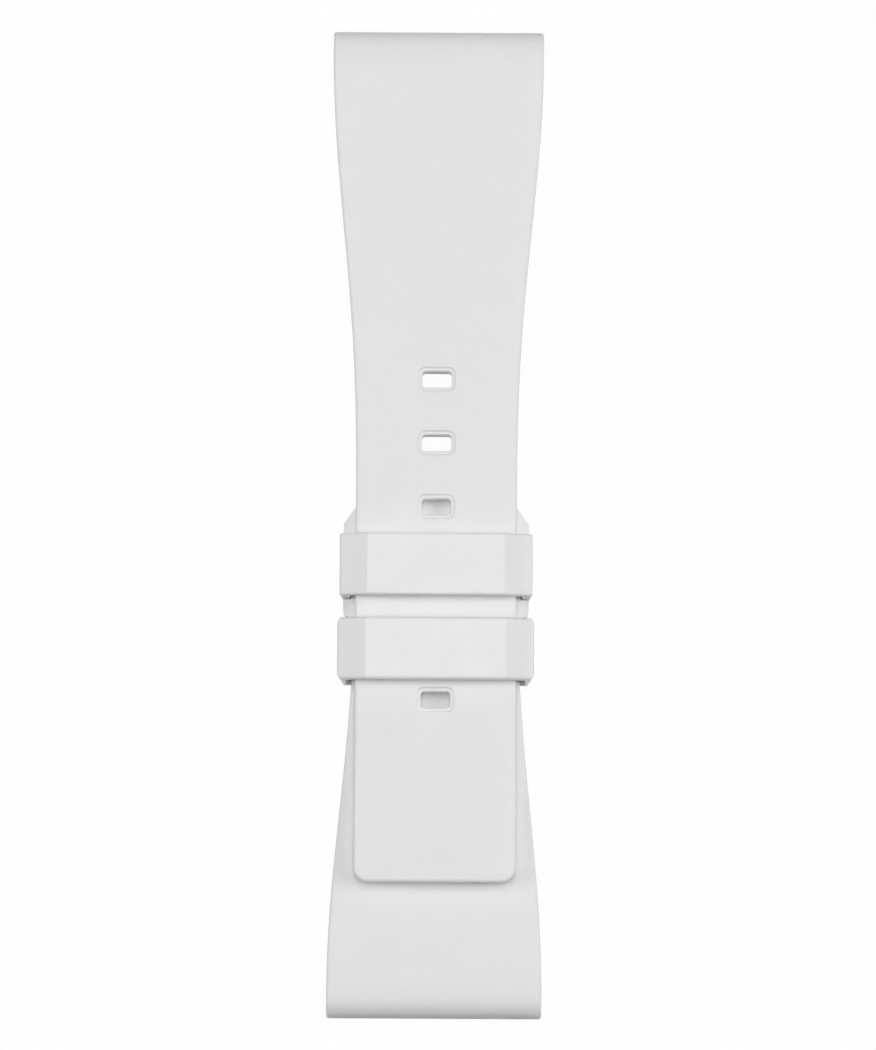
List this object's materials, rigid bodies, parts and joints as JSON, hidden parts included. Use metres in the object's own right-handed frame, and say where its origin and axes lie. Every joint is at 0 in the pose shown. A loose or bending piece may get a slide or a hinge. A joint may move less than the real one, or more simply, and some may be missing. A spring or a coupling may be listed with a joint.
{
  "type": "watch strap",
  "caption": "White rubber watch strap in two halves, closed on a hinged plate buckle, with a fixed and a sliding keeper and a tube for a spring bar in each lug end.",
  "frame": {"origin": "middle of the base of the whole closed strap, as it lies flat", "axes": "+Y along the strap to the lug end of the long, holed half; +Z out of the outer face; +X to the right"},
  "size_m": [0.024, 0.1126, 0.0073],
  "materials": {
    "white_rubber": "satin moulded",
    "white_coating": "satin white coating",
    "bar_steel": "turned stainless steel",
    "spring_steel": "drawn spring wire"
  },
  "bodies": {
    "short_half": {"short_strap": "white_rubber", "short_end_tube": "bar_steel", "buckle_end_tube": "bar_steel", "buckle_bar_tube": "bar_steel", "buckle_bar_spring": "spring_steel"},
    "buckle": {"buckle_plate": "white_coating", "buckle_stud": "white_coating", "fixed_keeper": "white_rubber", "long_strap": "white_rubber", "long_end_tube": "bar_steel"},
    "slide_keeper": {"free_keeper": "white_rubber"},
    "tip_left": {"buckle_bar_tip_left": "bar_steel"},
    "tip_right": {"buckle_bar_tip_right": "bar_steel"}
  },
  "joints": [
    {"name": "buckle_hinge", "type": "hinge", "parent": "short_half", "child": "buckle", "pos_m": [0, -0.0105, 0.00235], "axis": [-1, 0, 0], "range_deg": [0, 1.5]},
    {"name": "keeper_slide", "type": "slide", "parent": "short_half", "child": "slide_keeper", "axis": [0, 1, 0], "range_m": [-0.005, 0]},
    {"name": "left_tip_slide", "type": "slide", "parent": "short_half", "child": "tip_left", "axis": [1, 0, 0], "range_m": [0, 0.0013], "stiffness_N_per_m": 250, "deforming": ["buckle_bar_spring"]},
    {"name": "right_tip_slide", "type": "slide", "parent": "short_half", "child": "tip_right", "axis": [-1, 0, 0], "range_m": [0, 0.0013], "stiffness_N_per_m": 250, "deforming": ["buckle_bar_spring"]}
  ]
}
